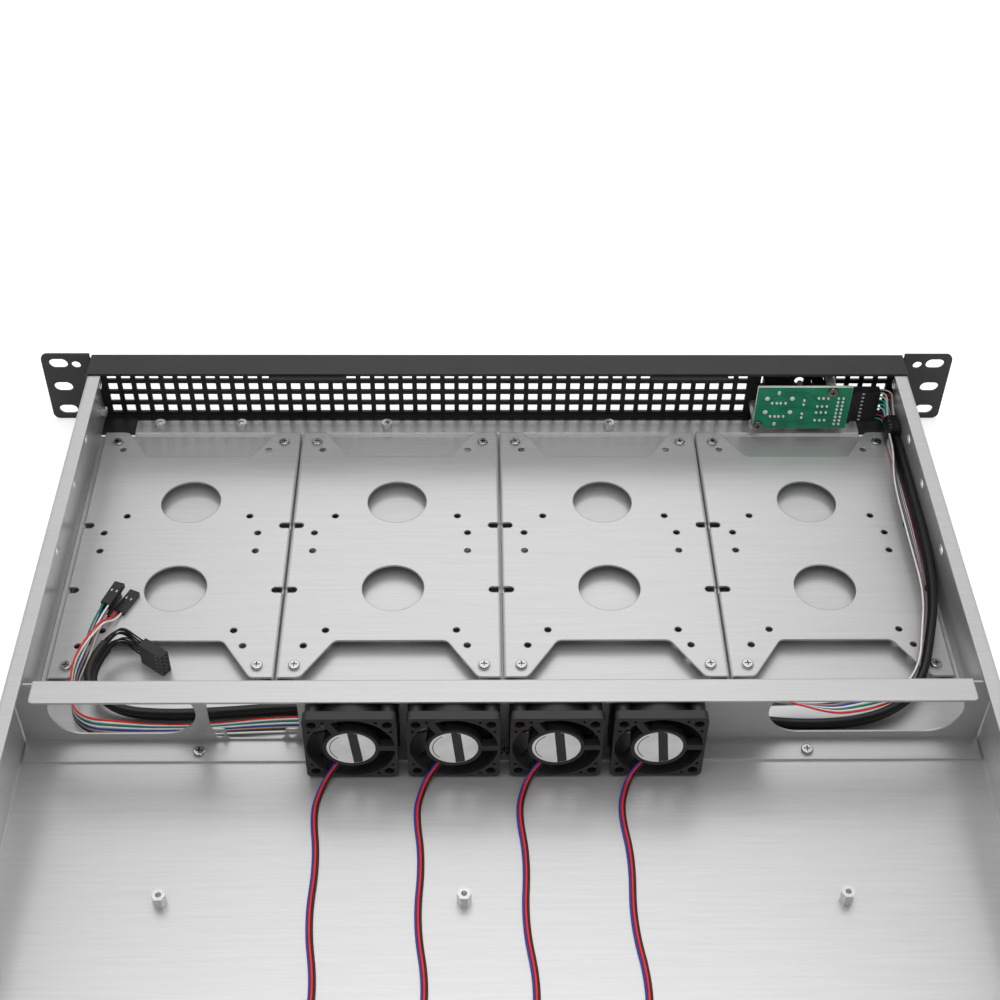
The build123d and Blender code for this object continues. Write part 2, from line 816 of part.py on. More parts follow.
# Routes of the cords: across, behind the front panel, up.
usb_lower_route = [
    (-210.6, 31.0, 9.2),
    (-210.6, 70.0, 9.2),
    (-210.3, 112.0, 9.2),
    (-206.9, 146.0, 9.2),
    (-199.6, 171.0, 9.2),
    (-193.5, 190.0, 9.1),
    (-184.0, 203.2, 5.4),
    (-166.0, 211.6, 3.1),
    (-140.0, 215.2, 3.1),
    (-112.0, 212.6, 3.1),
    (-84.0, 206.8, 3.1),
    (-36.0, 206.5, 3.1),
    (14.0, 205.6, 3.1),
    (58.0, 205.2, 3.1),
    (94.0, 203.9, 3.1),
    (124.0, 206.6, 3.1),
    (152.0, 208.2, 3.1),
    (173.0, 206.4, 4.2),
    (185.5, 198.0, 8.2),
    (187.8, 186.0, 10.6),
    (182.9, 174.4, 10.4),
]
usb_upper_route = [
    (-210.6, 31.0, 13.4),
    (-210.6, 70.0, 13.4),
    (-210.3, 112.0, 13.4),
    (-206.9, 146.0, 13.4),
    (-199.6, 171.0, 13.4),
    (-193.4, 190.4, 13.2),
    (-183.6, 204.4, 9.6),
    (-166.0, 213.0, 7.2),
    (-140.0, 216.6, 7.2),
    (-112.0, 214.0, 7.2),
    (-84.0, 208.2, 7.2),
    (-36.0, 207.9, 7.2),
    (14.0, 207.0, 7.2),
    (58.0, 206.6, 7.2),
    (94.0, 205.3, 7.2),
    (124.0, 208.0, 7.2),
    (152.0, 209.6, 7.2),
    (174.0, 207.9, 8.4),
    (187.0, 199.0, 12.5),
    (188.8, 186.0, 14.9),
    (183.4, 174.2, 14.7),
]
# The ribbon of eight wires: where its first wire lies, and the step from each wire to the next.
ribbon_route = [
    ((-206.6, 31.0, 8.4), (0.05, 0.0, 1.08)),
    ((-206.6, 44.0, 8.4), (0.05, 0.0, 1.08)),
    ((-206.8, 66.0, 10.8), (0.74, 0.0, 0.72)),
    ((-206.6, 110.0, 10.8), (0.74, 0.0, 0.72)),
    ((-203.9, 145.0, 9.0), (0.33, 0.0, 1.00)),
    ((-196.4, 170.0, 8.0), (0.12, 0.0, 1.06)),
    ((-190.4, 188.0, 7.8), (-0.05, 0.05, 1.10)),
    ((-181.5, 201.0, 6.6), (0.05, 0.10, 1.08)),
    ((-170.0, 207.4, 8.0), (0.0, -0.62, 0.90)),
    ((-159.0, 211.0, 9.0), (0.0, -1.00, 0.36)),
    ((-148.0, 212.6, 9.6), (0.0, -1.03, -0.20)),
    ((-132.0, 209.5, 12.6), (0.0, -0.68, -0.87)),
    ((-116.0, 206.0, 14.8), (0.0, -0.04, -1.10)),
    ((-98.0, 203.0, 15.4), (0.0, 0.65, -0.89)),
    ((-78.0, 202.6, 12.4), (0.0, 1.06, -0.28)),
    ((-52.0, 207.0, 11.2), (0.0, 1.10, -0.20)),
    ((-26.0, 211.2, 8.2), (0.0, 0.86, -0.65)),
    ((6.0, 209.8, 3.2), (0.0, 1.03, -0.10)),
    ((44.0, 208.9, 1.8), (0.0, 1.06, 0.24)),
    ((80.0, 207.6, 2.3), (0.0, 1.10, -0.04)),
    ((104.0, 208.0, 2.7), (0.0, 1.10, -0.10)),
    ((132.0, 211.4, 1.8), (0.0, 1.00, 0.28)),
    ((157.0, 211.5, 1.9), (0.0, 1.00, 0.12)),
    ((174.0, 212.0, 5.4), (0.03, 0.92, -0.50)),
    ((186.0, 213.6, 9.2), (0.15, 0.50, -1.00)),
    ((194.0, 207.4, 10.2), (0.20, -0.10, -1.07)),
    ((196.0, 190.0, 16.0), (-0.30, 0.05, -1.14)),
    ((194.0, 177.0, 15.9), (-0.45, 0.0, -1.05)),
]
# The first two wires cross over the others on the way to their plug.
crossing_route = [
    ((190.0, 167.0, 15.6), (-1.40, 0.0, -0.50)),
    ((187.4, 160.6, 14.9), (-1.50, 0.4, -0.30)),
]
wire_names = ("red", "white_1", "green", "white_2", "blue", "tan", "black", "white_3")
# The four two-way plugs: middle of the wire end across, behind the panel and up, heading, straight lead-in.
front_plug_places = [
    ((181.6, 149.5, 8.42), 66.0, 5.0),
    ((187.0, 149.4, 13.70), 71.0, 9.0),
    ((187.6, 150.2, 11.06), 76.0, 9.0),
    ((188.4, 151.0, 8.42), 74.0, 9.0),
]
# A fan's lead, across from the fan's middle.
lead_route = [
    (6.5, 239.35, 10.84),
    (10.2, 240.0, 4.5),
    (13.6, 246.5, 2.2),
    (16.5, 259.0, 2.2),
    (13.0, 283.0, 2.2),
    (15.0, 313.0, 2.2),
    (10.0, 342.0, 2.2),
    (13.0, 366.0, 2.2),
    (13.0, 388.0, 2.2),
]
# The ten-way plug stands on its long edge in the notch of the first plate.
usb_plug_end = (166.7, 172.5)
usb_plug_heading = 143.6
usb_plug_level = 7.55
# The thin wires between the cables and that plug: lower middle of each bend.
usb_wire_bend = (176.0, 167.0)
usb_wire_levels = (8.2, 13.5)
usb_wire_rise = 1.3


def sideways(points, offset):
    """The ribbon's hand points, moved over to the wire of this number."""
    return [tuple(low + offset * rise for low, rise in zip(start, step)) for start, step in points]


def plug_mouths(place, index):
    """Where a wire enters its two-way plug, and the start of its straight lead-in."""
    (x, distance, z), heading, lead_in = place
    ahead = Vector(-cos(radians(heading)), -sin(radians(heading)), 0)
    beside = Vector(sin(radians(heading)), -cos(radians(heading)), 0)
    side = 0.5 if index % 2 == 0 else -0.5
    end = Vector(x, distance, z) + beside * pin_pitch * side
    return [tuple(end - ahead * lead_in), tuple(end)]


def front_wire(index):
    """One wire of the ribbon, from the wrap to its plug."""
    points = sideways(ribbon_route, index)
    if index < 2:
        points += sideways(crossing_route, index)
    points += plug_mouths(front_plug_places[index // 2], index)
    return tube(behind_panel(points), wire_radius)


def front_plugs():
    plugs = []
    for (x, distance, z), heading, _ in front_plug_places:
        body = Pos(plug_length / 2, 0, 0) * Box(plug_length, 2 * pin_pitch, pin_pitch)
        for step in (-0.5, 0.5):
            window = Pos(plug_length * 0.62, step * pin_pitch, pin_pitch / 2)
            body -= window * Box(2 * plug_window, plug_window, 1.0)
        plugs.append(Pos(x, back(distance), z) * Rot(0, 0, 180 + heading) * body)
    return plugs


def usb_plug_cells():
    """Heights of the plug's positions from its middle, lowest first."""
    half = (usb_plug_positions - 1) / 2
    return [(index - half) * pin_pitch for index in range(usb_plug_positions)]


def usb_plug():
    body = Pos(plug_length / 2, 0, 0) * Box(plug_length, 2 * pin_pitch, usb_plug_positions * pin_pitch)
    for up in usb_plug_cells():
        for row in (-0.5, 0.5):
            body -= Pos(plug_length, row * pin_pitch, up) * Box(4.0, 1.0, 1.0)
        side = Pos(plug_length * 0.72, -pin_pitch, up)
        body -= side * Box(2 * plug_window, 1.0, plug_window)
    x, distance = usb_plug_end
    return Pos(x, back(distance), usb_plug_level) * Rot(0, 0, usb_plug_heading) * body


def usb_plug_wires():
    """Four thin wires from the end of each cable's jacket round into the ten-way plug."""
    wires = []
    turn = radians(usb_plug_heading)
    into = Vector(cos(turn), sin(turn), 0)
    across = Vector(-sin(turn), cos(turn), 0)
    mouth = Vector(*usb_plug_end, usb_plug_level)
    for cable, route in enumerate((usb_lower_route, usb_upper_route)):
        end = Vector(*route[-1])
        ahead = (end - Vector(*route[-2])).normalized()
        beside = Vector(ahead.Y, -ahead.X, 0).normalized()
        inside = (beside - across).normalized()
        side = cable - 0.5
        for index in range(4):
            shift = beside * (0.75 if index % 2 else -0.75) + Vector(0, 0, 0.62 if index > 1 else -0.62)
            bend = Vector(*usb_wire_bend, usb_wire_levels[cable] + usb_wire_rise * index)
            entry = mouth + across * pin_pitch * side + Vector(0, 0, usb_plug_cells()[index + 1])
            points = [
                end + shift + ahead * 0.05,
                end + shift + ahead * 4.6,
                bend - inside * 2.0 * side,
                entry - into * 4.0,
                entry,
            ]
            wires.append(tube(behind_panel([tuple(point) for point in points]), usb_plug_wire_radius))
    return wires


def header_wires():
    """The sixteen short wires from the header plug to the wrap, in two rows of eight."""
    wires = []
    start = header_across - header_length / 2 - plug_length
    middle = board_back - header_stand + plug_thick / 2
    for row, far in enumerate(plug_wire_far):
        distance = middle + (row - 0.5) * pin_pitch
        for level in range(8):
            high = header_middle + (level - 3.5) * pin_pitch
            low = wrap_bottom + 1.4 + 1.45 * level
            points = [
                (start, distance, high),
                (start - plug_wire_turn[row], distance, high),
                (far, distance + 3.2, 0.3 * high + 0.7 * low),
                (far, wrap_front - 1.0, low),
                (far, wrap_front, low),
            ]
            wires.append(tube(behind_panel(points), plug_wire_radius))
    return wires


def fan_plugs():
    """The plugs on the ends of the fans' leads, standing on the floor."""
    x, distance, _ = lead_route[-1]
    wide, long, tall = lead_plug_size
    plugs = []
    for across in fan_places(fan_count):
        middle = across + x
        width = (middle - wide / 2, middle + wide / 2)
        depth = (back(distance), back(distance + long))
        plug = block(width, depth, (pan_sheet + slip_gap, pan_sheet + slip_gap + tall))
        for step in (-1, 0, 1):
            spot = middle + step * pin_pitch
            mouth = (spot - 0.5, spot + 0.5)
            plug -= block(mouth, (depth[1] - 6.0, depth[1]), (pan_sheet + 2.2, pan_sheet + 3.2))
        plugs.append(plug)
    return plugs


def harness_wrap():
    outline = Pos((wrap_right + wrap_left) / 2, (wrap_bottom + wrap_top) / 2) * RectangleRounded(
        wrap_left - wrap_right, wrap_top - wrap_bottom, wrap_corner
    )
    return through_upright_sheet(outline, (back(wrap_front), back(wrap_back)))


def parts_of(solids):
    return Compound(children=list(solids)) if isinstance(solids, list) else solids


def rear_panel():
    half = body_width / 2
    middle = pan_sheet / 2
    line = [
        (rear_face - rear_foot, inner_top - middle),
        (rear_face - middle, inner_top - middle),
        (rear_face - middle, pan_sheet + middle),
        (rear_face - rear_foot, pan_sheet + middle),
    ]
    inset = half - wall_flange - side_gap
    panel = folded_across(line, pan_sheet, pan_sheet, (-inset, inset))
    web = Pos(0, inner_top / 2) * Rectangle(body_width, inner_top)
    web -= Pos(0, inner_top / 2) * Rectangle(2 * inset, inner_top)
    panel += through_upright_sheet(web, (rear_face - pan_sheet, rear_face))
    middle_height = (pan_sheet + inner_top) / 2
    cuts = Pos(port_across, middle_height) * Rectangle(*port_opening)
    cuts += Pos(power_across, middle_height) * Rectangle(*power_opening)
    panel -= through_upright_sheet(cuts, (rear_face - pan_sheet, rear_face))
    foot = (pan_sheet, 2 * pan_sheet)
    y = rear_face - rear_foot / 2
    return panel - [upright(screw_hole_radius, x, y, foot) for x in rear_screw_places]


def board_standoffs():
    post = extrude(RegularPolygon(board_post_radius, 6), amount=board_post_height)
    post -= Pos(0, 0, board_post_height) * Cylinder(tap_radius, board_post_height)
    first_row = rear_face - pan_sheet - board_first_row
    spots = [(board_first_column + x, first_row - y) for x in board_columns for y in board_rows]
    return [Pos(x, y, pan_sheet) * post for x, y in spots]


def main():
    os.makedirs("parts", exist_ok=True)
    nodes = {
        "front_panel": front_panel(),
        "panel_nuts": panel_nuts(),
        "panel_screws": [joint * sunk_screw() for joint in panel_joints()],
        "base_pan": base_pan(),
        "plate_standoffs": standoffs(),
        "plate_screws": plate_screws(),
        "fan_wall": fan_wall(),
        "foot_screws": foot_screws(),
        "fan_screws": fan_screws(),
        "fan_stators": fan_stators(),
        "fan_labels": fan_labels(),
        "io_board": io_board(),
        "io_posts": io_posts(),
        "io_screws": io_screws(),
        "usb_ports": usb_ports(),
        "indicator_lights": indicator_lights(),
        "switch_bodies": switch_bodies(),
        "power_button": push_button(row_heights[0]),
        "reset_button": push_button(row_heights[1]),
        "pin_header": pin_header(),
        "header_plug": header_plug(),
        "header_wires": header_wires(),
        "harness_wrap": harness_wrap(),
        "usb_cable_lower": tube(behind_panel(usb_lower_route), usb_cable_radius),
        "usb_cable_upper": tube(behind_panel(usb_upper_route), usb_cable_radius),
        "usb_plug": usb_plug(),
        "usb_plug_wires": usb_plug_wires(),
        "fan_plugs": fan_plugs(),
        "front_plugs": front_plugs(),
        "rear_panel": rear_panel(),
        "board_standoffs": board_standoffs(),
    }
    for index, across in enumerate(plate_places(), 1):
        nodes[f"drive_plate_{index}"] = drive_plate(across)
    housing = fan_housing()
    rotor = fan_rotor()
    for index, across in enumerate(fan_places(fan_count), 1):
        nodes[f"fan_housing_{index}"] = place_fan(housing, across)
        nodes[f"fan_rotor_{index}"] = place_fan(rotor, across)
        lead = [(across + x, distance, z) for x, distance, z in lead_route]
        nodes[f"fan_lead_{index}"] = tube(behind_panel(lead), lead_radius)
    for index, name in enumerate(wire_names):
        nodes[f"wire_{name}"] = front_wire(index)
    for name, solids in nodes.items():
        export_step(parts_of(solids), f"parts/{name}.step")


main()
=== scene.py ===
"""Empty 1U rackmount server case without its lid: looks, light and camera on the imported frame."""
from math import cos, pi, radians, sin

import bmesh
import bpy
from mathutils import Matrix, Vector


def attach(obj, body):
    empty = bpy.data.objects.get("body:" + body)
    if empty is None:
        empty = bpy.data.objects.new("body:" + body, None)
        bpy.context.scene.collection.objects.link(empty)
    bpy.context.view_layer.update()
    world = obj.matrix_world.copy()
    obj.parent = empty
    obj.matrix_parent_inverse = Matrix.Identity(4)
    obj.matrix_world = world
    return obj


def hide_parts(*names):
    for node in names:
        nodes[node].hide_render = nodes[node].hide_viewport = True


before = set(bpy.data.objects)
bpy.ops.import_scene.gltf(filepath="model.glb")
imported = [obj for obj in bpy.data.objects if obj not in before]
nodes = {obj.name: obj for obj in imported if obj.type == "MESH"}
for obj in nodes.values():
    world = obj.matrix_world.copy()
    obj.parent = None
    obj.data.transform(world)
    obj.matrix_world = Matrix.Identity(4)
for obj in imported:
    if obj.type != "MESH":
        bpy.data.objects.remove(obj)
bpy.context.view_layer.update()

MM = 0.001

# Places in mm that several pieces share. Distances are behind the front panel's inner face.
PANEL_INNER = -273.5
FAN_MIDDLE = 22.1
FAN_XS = (66.15, 22.05, -22.05, -66.15)
BOARD_BACK = 17.5
PIN_PITCH = 2.54
PLUG_LENGTH = 14.0
USB_PLUG_MOUTH = Vector((166.7, 172.5, 7.55))
USB_PLUG_HEADING = radians(143.6)
HEADER_ROWS = 8
HEADER_MIDDLE = 20.05


def at(across, distance, up):
    """A point given in mm across, behind the front panel's inner face, and up."""
    return Vector((across * MM, (PANEL_INNER + distance) * MM, up * MM))


class Shader:
    """A node material with object coordinates, built up by small steps."""

    def __init__(self, name, color, metallic=0.0, roughness=0.5):
        self.material = bpy.data.materials.new(name)
        self.material.use_nodes = True
        self.tree = self.material.node_tree
        self.surface = self.tree.nodes["Principled BSDF"]
        self.surface.inputs["Base Color"].default_value = (*color, 1.0)
        self.surface.inputs["Metallic"].default_value = metallic
        self.surface.inputs["Roughness"].default_value = roughness
        self.color = color
        self.roughness = roughness
        coordinates = self.tree.nodes.new("ShaderNodeTexCoord")
        self.place = coordinates.outputs["Object"]
        self.bumps = None

    def link(self, source, target):
        self.tree.links.new(source, target)

    def noise(self, scale, stretch=(1.0, 1.0, 1.0), detail=3.0, rough=0.5):
        """A noise value, stretched along the axes with small numbers."""
        mapping = self.tree.nodes.new("ShaderNodeMapping")
        mapping.inputs["Scale"].default_value = stretch
        self.link(self.place, mapping.inputs["Vector"])
        texture = self.tree.nodes.new("ShaderNodeTexNoise")
        texture.inputs["Scale"].default_value = scale
        texture.inputs["Detail"].default_value = detail
        texture.inputs["Roughness"].default_value = rough
        self.link(mapping.outputs["Vector"], texture.inputs["Vector"])
        return texture.outputs["Fac"]

    def ramp(self, value, stops):
        """A colour from a value, through stops of (place, colour)."""
        ramp = self.tree.nodes.new("ShaderNodeValToRGB")
        elements = ramp.color_ramp.elements
        for index, (position, color) in enumerate(stops):
            if index > 1:
                elements.new(position)
            elements[index].position = position
            elements[index].color = (*color, 1.0)
        self.link(value, ramp.inputs["Fac"])
        return ramp.outputs["Color"]

    def remap(self, value, low, high):
        """A value from 0 to 1, brought to between low and high."""
        node = self.tree.nodes.new("ShaderNodeMapRange")
        node.inputs["To Min"].default_value = low
        node.inputs["To Max"].default_value = high
        self.link(value, node.inputs["Value"])
        return node.outputs["Result"]

    def vary_color(self, value, spread):
        """Makes the base colour lighter and darker by spread either side of its own."""
        dark = [part * (1.0 - spread) for part in self.color]
        light = [min(1.0, part * (1.0 + spread)) for part in self.color]
        color = self.ramp(value, [(0.3, dark), (0.7, light)])
        self.link(color, self.surface.inputs["Base Color"])
        return self

    def vary_roughness(self, value, spread):
        result = self.remap(value, self.roughness - spread, self.roughness + spread)
        self.link(result, self.surface.inputs["Roughness"])
        return self

    def bump(self, value, depth, strength):
        """Raises and lowers the surface with a value, on top of any bumps before."""
        node = self.tree.nodes.new("ShaderNodeBump")
        node.inputs["Strength"].default_value = strength
        node.inputs["Distance"].default_value = depth
        self.link(value, node.inputs["Height"])
        if self.bumps:
            self.link(self.bumps, node.inputs["Normal"])
        self.bumps = node.outputs["Normal"]
        self.link(self.bumps, self.surface.inputs["Normal"])
        return self

    def round_edges(self, radius):
        """Shades sharp edges as if rounded, so that they catch light. Goes before any bump."""
        node = self.tree.nodes.new("ShaderNodeBevel")
        node.samples = 4
        node.inputs["Radius"].default_value = radius
        self.bumps = node.outputs["Normal"]
        self.link(self.bumps, self.surface.inputs["Normal"])
        return self

    def paint_shade_in_recesses(self, reach):
        """Paints shade into the base colour: darker where the piece's own faces close in around a
        spot, such as a screw head's recess.
        """
        node = self.tree.nodes.new("ShaderNodeAmbientOcclusion")
        node.samples = 6
        node.only_local = True
        node.inputs["Distance"].default_value = reach
        dark = [part * 0.06 for part in self.color]
        color = self.ramp(node.outputs["AO"], [(0.35, dark), (0.85, self.color)])
        self.link(color, self.surface.inputs["Base Color"])
        return self

    def set(self, **values):
        """Sets inputs of the surface by name, with _ for each space."""
        for name, value in values.items():
            self.surface.inputs[name.replace("_", " ")].default_value = value
        return self


def sheet_metal(name, color, metallic, roughness, rolled):
    """Zinc-coated sheet: streaks and fine lines along its rolling, edges that catch light."""
    shader = Shader(name, color, metallic=metallic, roughness=roughness)
    streaks = shader.noise(150.0, rolled, detail=5.0, rough=0.7)
    lines = shader.noise(700.0, rolled, detail=3.0, rough=0.6)
    shader.vary_color(streaks, 0.05)
    shader.vary_roughness(streaks, 0.04)
    shader.round_edges(0.0008)
    shader.bump(lines, 0.00003, 0.25)
    return shader.material


def painted_metal(name, color, roughness):
    """Powder-coated sheet with a fine pebbled surface and edges that catch light."""
    shader = Shader(name, color, roughness=roughness)
    shader.round_edges(0.0004)
    pebbles = shader.noise(2600.0, detail=2.0)
    patches = shader.noise(60.0, detail=2.0)
    shader.vary_color(patches, 0.12)
    shader.vary_roughness(pebbles, 0.08)
    shader.bump(pebbles, 0.00006, 0.35)
    return shader.material


def plated_steel(name, color, roughness, metallic=1.0, shade_reach=0.0):
    """Plated steel or tin, with painted shade in its hollows where they are as deep as this
    distance.
    """
    shader = Shader(name, color, metallic=metallic, roughness=roughness)
    marks = shader.noise(1500.0, detail=3.0)
    # Painted shade in the recesses takes the place of the random tone marks.
    if shade_reach:
        shader.paint_shade_in_recesses(shade_reach)
    else:
        shader.vary_color(marks, 0.10)
    shader.vary_roughness(marks, 0.08)
    shader.bump(marks, 0.00003, 0.25)
    return shader.material


def moulded_plastic(name, color, roughness, grain=1800.0, edge=0.0):
    """Plastic, paper or laminate with a fine grain, its edges rounded by this radius."""
    shader = Shader(name, color, roughness=roughness)
    if edge:
        shader.round_edges(edge)
    grains = shader.noise(grain, detail=2.0)
    patches = shader.noise(120.0, detail=2.0)
    shader.vary_color(patches, 0.10)
    shader.vary_roughness(grains, 0.06)
    shader.bump(grains, 0.00004, 0.3)
    return shader.material


def wire_skin(name, color, roughness=0.38):
    """A wire's or cable's sleeve: smooth, with slight waves of gloss along it."""
    shader = Shader(name, color, roughness=roughness)
    waves = shader.noise(220.0, detail=2.0)
    shader.vary_color(waves, 0.08)
    shader.vary_roughness(waves, 0.08)
    shader.bump(shader.noise(900.0, detail=1.0), 0.00003, 0.2)
    return shader.material


def board_lacquer(name, color):
    """Green solder lacquer with faint copper tracks under it."""
    shader = Shader(name, color, roughness=0.32)
    tracks = shader.noise(170.0, detail=0.0)
    shader.vary_color(tracks, 0.12)
    shader.bump(tracks, 0.00003, 0.2)
    shader.set(Coat_Weight=0.12, Coat_Roughness=0.15)
    return shader.material


# The noise is drawn out across the case. On the pan it is drawn out up its walls too.
ROLLED_ACROSS = (0.15, 4.0, 4.0)
ROLLED_PAN = (0.15, 4.0, 0.15)

zinc = sheet_metal("zinc_sheet_look", (0.66, 0.66, 0.66), 0.78, 0.40, ROLLED_ACROSS)
pan_zinc = sheet_metal("pan_sheet_look", (0.68, 0.68, 0.68), 0.66, 0.33, ROLLED_PAN)
drive_zinc = sheet_metal("drive_sheet_look", (0.67, 0.67, 0.67), 0.62, 0.33, ROLLED_ACROSS)
black_paint = painted_metal("black_paint_look", (0.022, 0.022, 0.023), 0.46)
# The screws' recesses get painted shade, out to 1.1 mm.
screw_steel = plated_steel("screw_steel_look", (0.68, 0.68, 0.67), 0.17, shade_reach=0.0011)
board_screw_steel = plated_steel("board_screw_look", (0.40, 0.35, 0.30), 0.22, shade_reach=0.0011)
nut_steel = plated_steel("nut_steel_look", (0.80, 0.80, 0.79), 0.25, metallic=0.6)
fan_black = moulded_plastic("fan_black_look", (0.019, 0.019, 0.020), 0.38, edge=0.00035)
rotor_black = moulded_plastic("rotor_black_look", (0.010, 0.010, 0.011), 0.34)
copper = plated_steel("winding_look", (0.55, 0.26, 0.11), 0.40)
label_paper = moulded_plastic("label_paper_look", (0.92, 0.92, 0.91), 0.42, 700.0)
label_ink = moulded_plastic("label_ink_look", (0.03, 0.03, 0.03), 0.40, 700.0)
lacquer = board_lacquer("board_lacquer_look", (0.010, 0.270, 0.130))
board_core = moulded_plastic("board_core_look", (0.90, 0.89, 0.83), 0.50, 900.0)
solder = plated_steel("solder_look", (0.91, 0.91, 0.90), 0.20, metallic=0.10)
port_steel = plated_steel("port_steel_look", (0.70, 0.70, 0.69), 0.20)
port_plastic = moulded_plastic("port_plastic_look", (0.75, 0.74, 0.70), 0.40)
lens = moulded_plastic("light_lens_look", (0.72, 0.70, 0.62), 0.18)
part_plastic = moulded_plastic("part_plastic_look", (0.020, 0.020, 0.021), 0.38)
plug_plastic = moulded_plastic("plug_plastic_look", (0.014, 0.014, 0.015), 0.34, edge=0.0002)
white_plastic = moulded_plastic("white_plastic_look", (0.66, 0.65, 0.60), 0.40)
cable_skin = wire_skin("cable_skin_look", (0.007, 0.007, 0.008), 0.44)
tape = wire_skin("wrap_tape_look", (0.014, 0.014, 0.015), 0.24)

WIRE_COLORS = {
    "red": (0.80, 0.020, 0.014),
    "white": (0.84, 0.84, 0.83),
    "green": (0.008, 0.19, 0.12),
    "teal": (0.010, 0.52, 0.38),
    "blue": (0.022, 0.045, 0.32),
    "tan": (0.42, 0.27, 0.19),
    "black": (0.014, 0.014, 0.015),
}
wire_looks = {name: wire_skin(f"wire_{name}_look", color) for name, color in WIRE_COLORS.items()}


def four(name):
    return [f"{name}_{index}" for index in range(1, 5)]


def paint(material, *names):
    """Gives every slot of these CAD nodes the material."""
    for name in names:
        for slot in nodes[name].material_slots:
            slot.material = material


paint(zinc, "fan_wall", "rear_panel")
paint(pan_zinc, "base_pan")
paint(drive_zinc, *four("drive_plate"))
paint(black_paint, "front_panel")
paint(screw_steel, "panel_screws", "plate_screws", "foot_screws", "fan_screws")
paint(board_screw_steel, "io_screws")
paint(nut_steel, "panel_nuts", "plate_standoffs", "board_standoffs", "io_posts")
paint(fan_black, *four("fan_housing"))
paint(rotor_black, *four("fan_rotor"))
paint(copper, "fan_stators")
paint(label_paper, "fan_labels")
paint(lacquer, "io_board")
paint(port_steel, "usb_ports")
paint(lens, "indicator_lights")
paint(part_plastic, "switch_bodies", "power_button", "reset_button", "pin_header")
paint(plug_plastic, "header_plug", "usb_plug", "front_plugs")
paint(white_plastic, "fan_plugs")


def mesh_piece(name, build, material, body="case"):
    """A mesh object whose shape is built by a function that is given its bmesh."""
    mesh = bpy.data.meshes.new(name)
    shape = bmesh.new()
    build(shape)
    bmesh.ops.recalc_face_normals(shape, faces=shape.faces)
    shape.to_mesh(mesh)
    shape.free()
    piece = bpy.data.objects.new(name, mesh)
    bpy.context.collection.objects.link(piece)
    mesh.materials.append(material)
    for face in mesh.polygons:
        face.use_smooth = True
    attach(piece, body)
    return piece


def skin_rings(shape, rings):
    """Faces between neighbouring rings of vertices, and a cap on each end."""
    for low, high in zip(rings, rings[1:]):
        for index in range(len(low)):
            after = (index + 1) % len(low)
            shape.faces.new((low[index], low[after], high[after], high[index]))
    shape.faces.new(rings[-1])
    shape.faces.new(list(reversed(rings[0])))


def skin_strip(shape, rows):
    """Faces between neighbouring pairs of vertices."""
    for low, high in zip(rows, rows[1:]):
        shape.faces.new((low[0], low[1], high[1], high[0]))


def add_pad(shape, middle, radius, thick, sides=24, dome=0.0):
    """A short round pad that stands out backwards, its outer face a little domed."""
    turn = Matrix.Rotation(-pi / 2, 4, "X")
    rings = []
    for size, level in ((radius, 0.0), (radius, thick * 0.6), (radius * 0.72, thick + dome)):
        ring = []
        for index in range(sides):
            angle = 2 * pi * index / sides
            spot = turn @ Vector((size * cos(angle), size * sin(angle), level))
            ring.append(shape.verts.new((spot + middle).to_tuple()))
        rings.append(ring)
    skin_rings(shape, rings)


def add_block(shape, low, high, chamfer=0.0):
    """A box between two corners, with its edges taken off."""
    made = bmesh.ops.create_cube(shape, size=1.0)
    size = high - low
    middle = (low + high) / 2
    for vertex in made["verts"]:
        vertex.co = Vector([vertex.co[i] * size[i] + middle[i] for i in range(3)])
    if chamfer:
        edges = list({edge for vertex in made["verts"] for edge in vertex.link_edges})
        bmesh.ops.bevel(shape, geom=edges, offset=chamfer, segments=2, affect="EDGES")


def add_turned_block(shape, middle, heading, size):
    """A box of this size in mm round a point of a route, turned by an angle seen from above."""
    made = bmesh.ops.create_cube(shape, size=1.0)
    place = Matrix.Translation(at(*middle)) @ Matrix.Rotation(heading, 4, "Z")
    place = place @ Matrix.Diagonal((*[part * MM for part in size], 1.0))
    bmesh.ops.transform(shape, matrix=place, verts=made["verts"])


def strand(name, points, diameter, material, replaced, smooth=8):
    """A round cord along a smooth spline with these points as its control points."""
    curve = bpy.data.curves.new(name, "CURVE")
    curve.dimensions = "3D"
    curve.resolution_u = smooth
    curve.bevel_depth = diameter / 2
    curve.bevel_resolution = 3
    curve.use_fill_caps = True
    spline = curve.splines.new("NURBS")
    spline.points.add(len(points) - 1)
    for point, place in zip(spline.points, points):
        point.co = (*place, 1.0)
    spline.order_u = 3
    spline.use_endpoint_u = True
    curve.materials.append(material)
    piece = bpy.data.objects.new(name, curve)
    bpy.context.collection.objects.link(piece)
    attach(piece, "case")
    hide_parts(replaced)
    return piece


